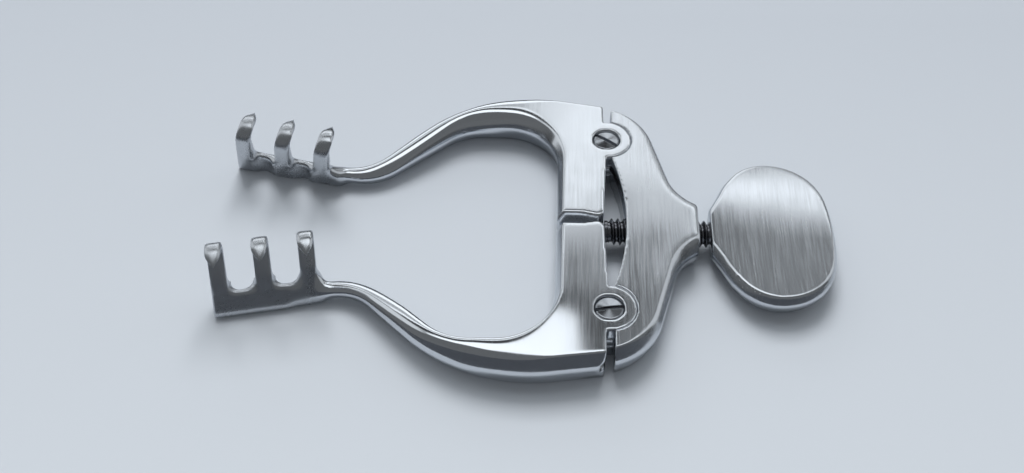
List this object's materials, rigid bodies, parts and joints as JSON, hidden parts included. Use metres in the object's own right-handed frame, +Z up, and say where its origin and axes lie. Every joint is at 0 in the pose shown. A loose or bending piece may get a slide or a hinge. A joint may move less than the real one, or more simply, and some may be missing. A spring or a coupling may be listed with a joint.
{
  "type": "self retaining retractor",
  "caption": "Self retaining wound retractor with sharp-pronged arms hinged on a bridge and spread by a thumbscrew.",
  "frame": {"origin": "on the flat underside of the bridge, on the middle plane, 8 mm behind the line through both hinges", "axes": "+X from the prongs back to the thumb plate, +Z up from the table, +Y to the left arm; the instrument is the same on both sides of Y = 0"},
  "size_m": [0.1009, 0.0576, 0.0131],
  "materials": {
    "satin_steel": "satin, brushed across the length",
    "polished_steel": "polished",
    "thread_steel": "machined"
  },
  "bodies": {
    "frame": {"yoke": "satin_steel"},
    "foot": {"pressure_foot": "thread_steel"},
    "thumbscrew": {"spindle": "thread_steel", "thumb_plate": "satin_steel"},
    "arm_left": {"arm_left": "satin_steel", "hinge_screw_left": "polished_steel"},
    "arm_right": {"arm_right": "satin_steel", "hinge_screw_right": "polished_steel"}
  },
  "joints": [
    {"name": "foot_slide", "type": "slide", "parent": "frame", "child": "foot", "axis": [1, 0, 0], "range_m": [-0.002, 0.0025]},
    {"name": "thumbscrew_turn", "type": "hinge", "parent": "foot", "child": "thumbscrew", "pos_m": [0, 0, 0.0034], "axis": [1, 0, 0], "range_deg": [-721, 901]},
    {"name": "arm_left_swing", "type": "hinge", "parent": "frame", "child": "arm_left", "pos_m": [-0.008, 0.018, 0], "axis": [0, 0, 1], "range_deg": [-6.84, 8.55]},
    {"name": "arm_right_swing", "type": "hinge", "parent": "frame", "child": "arm_right", "pos_m": [-0.008, -0.018, 0], "axis": [0, 0, 1], "range_deg": [-8.55, 6.84]}
  ],
  "couplings": [
    {"joint": "thumbscrew_turn", "follows": "foot_slide", "rad_per_m": 6283.2},
    {"joint": "arm_left_swing", "follows": "foot_slide", "rad_per_m": 59.524},
    {"joint": "arm_right_swing", "follows": "foot_slide", "rad_per_m": -59.524}
  ]
}
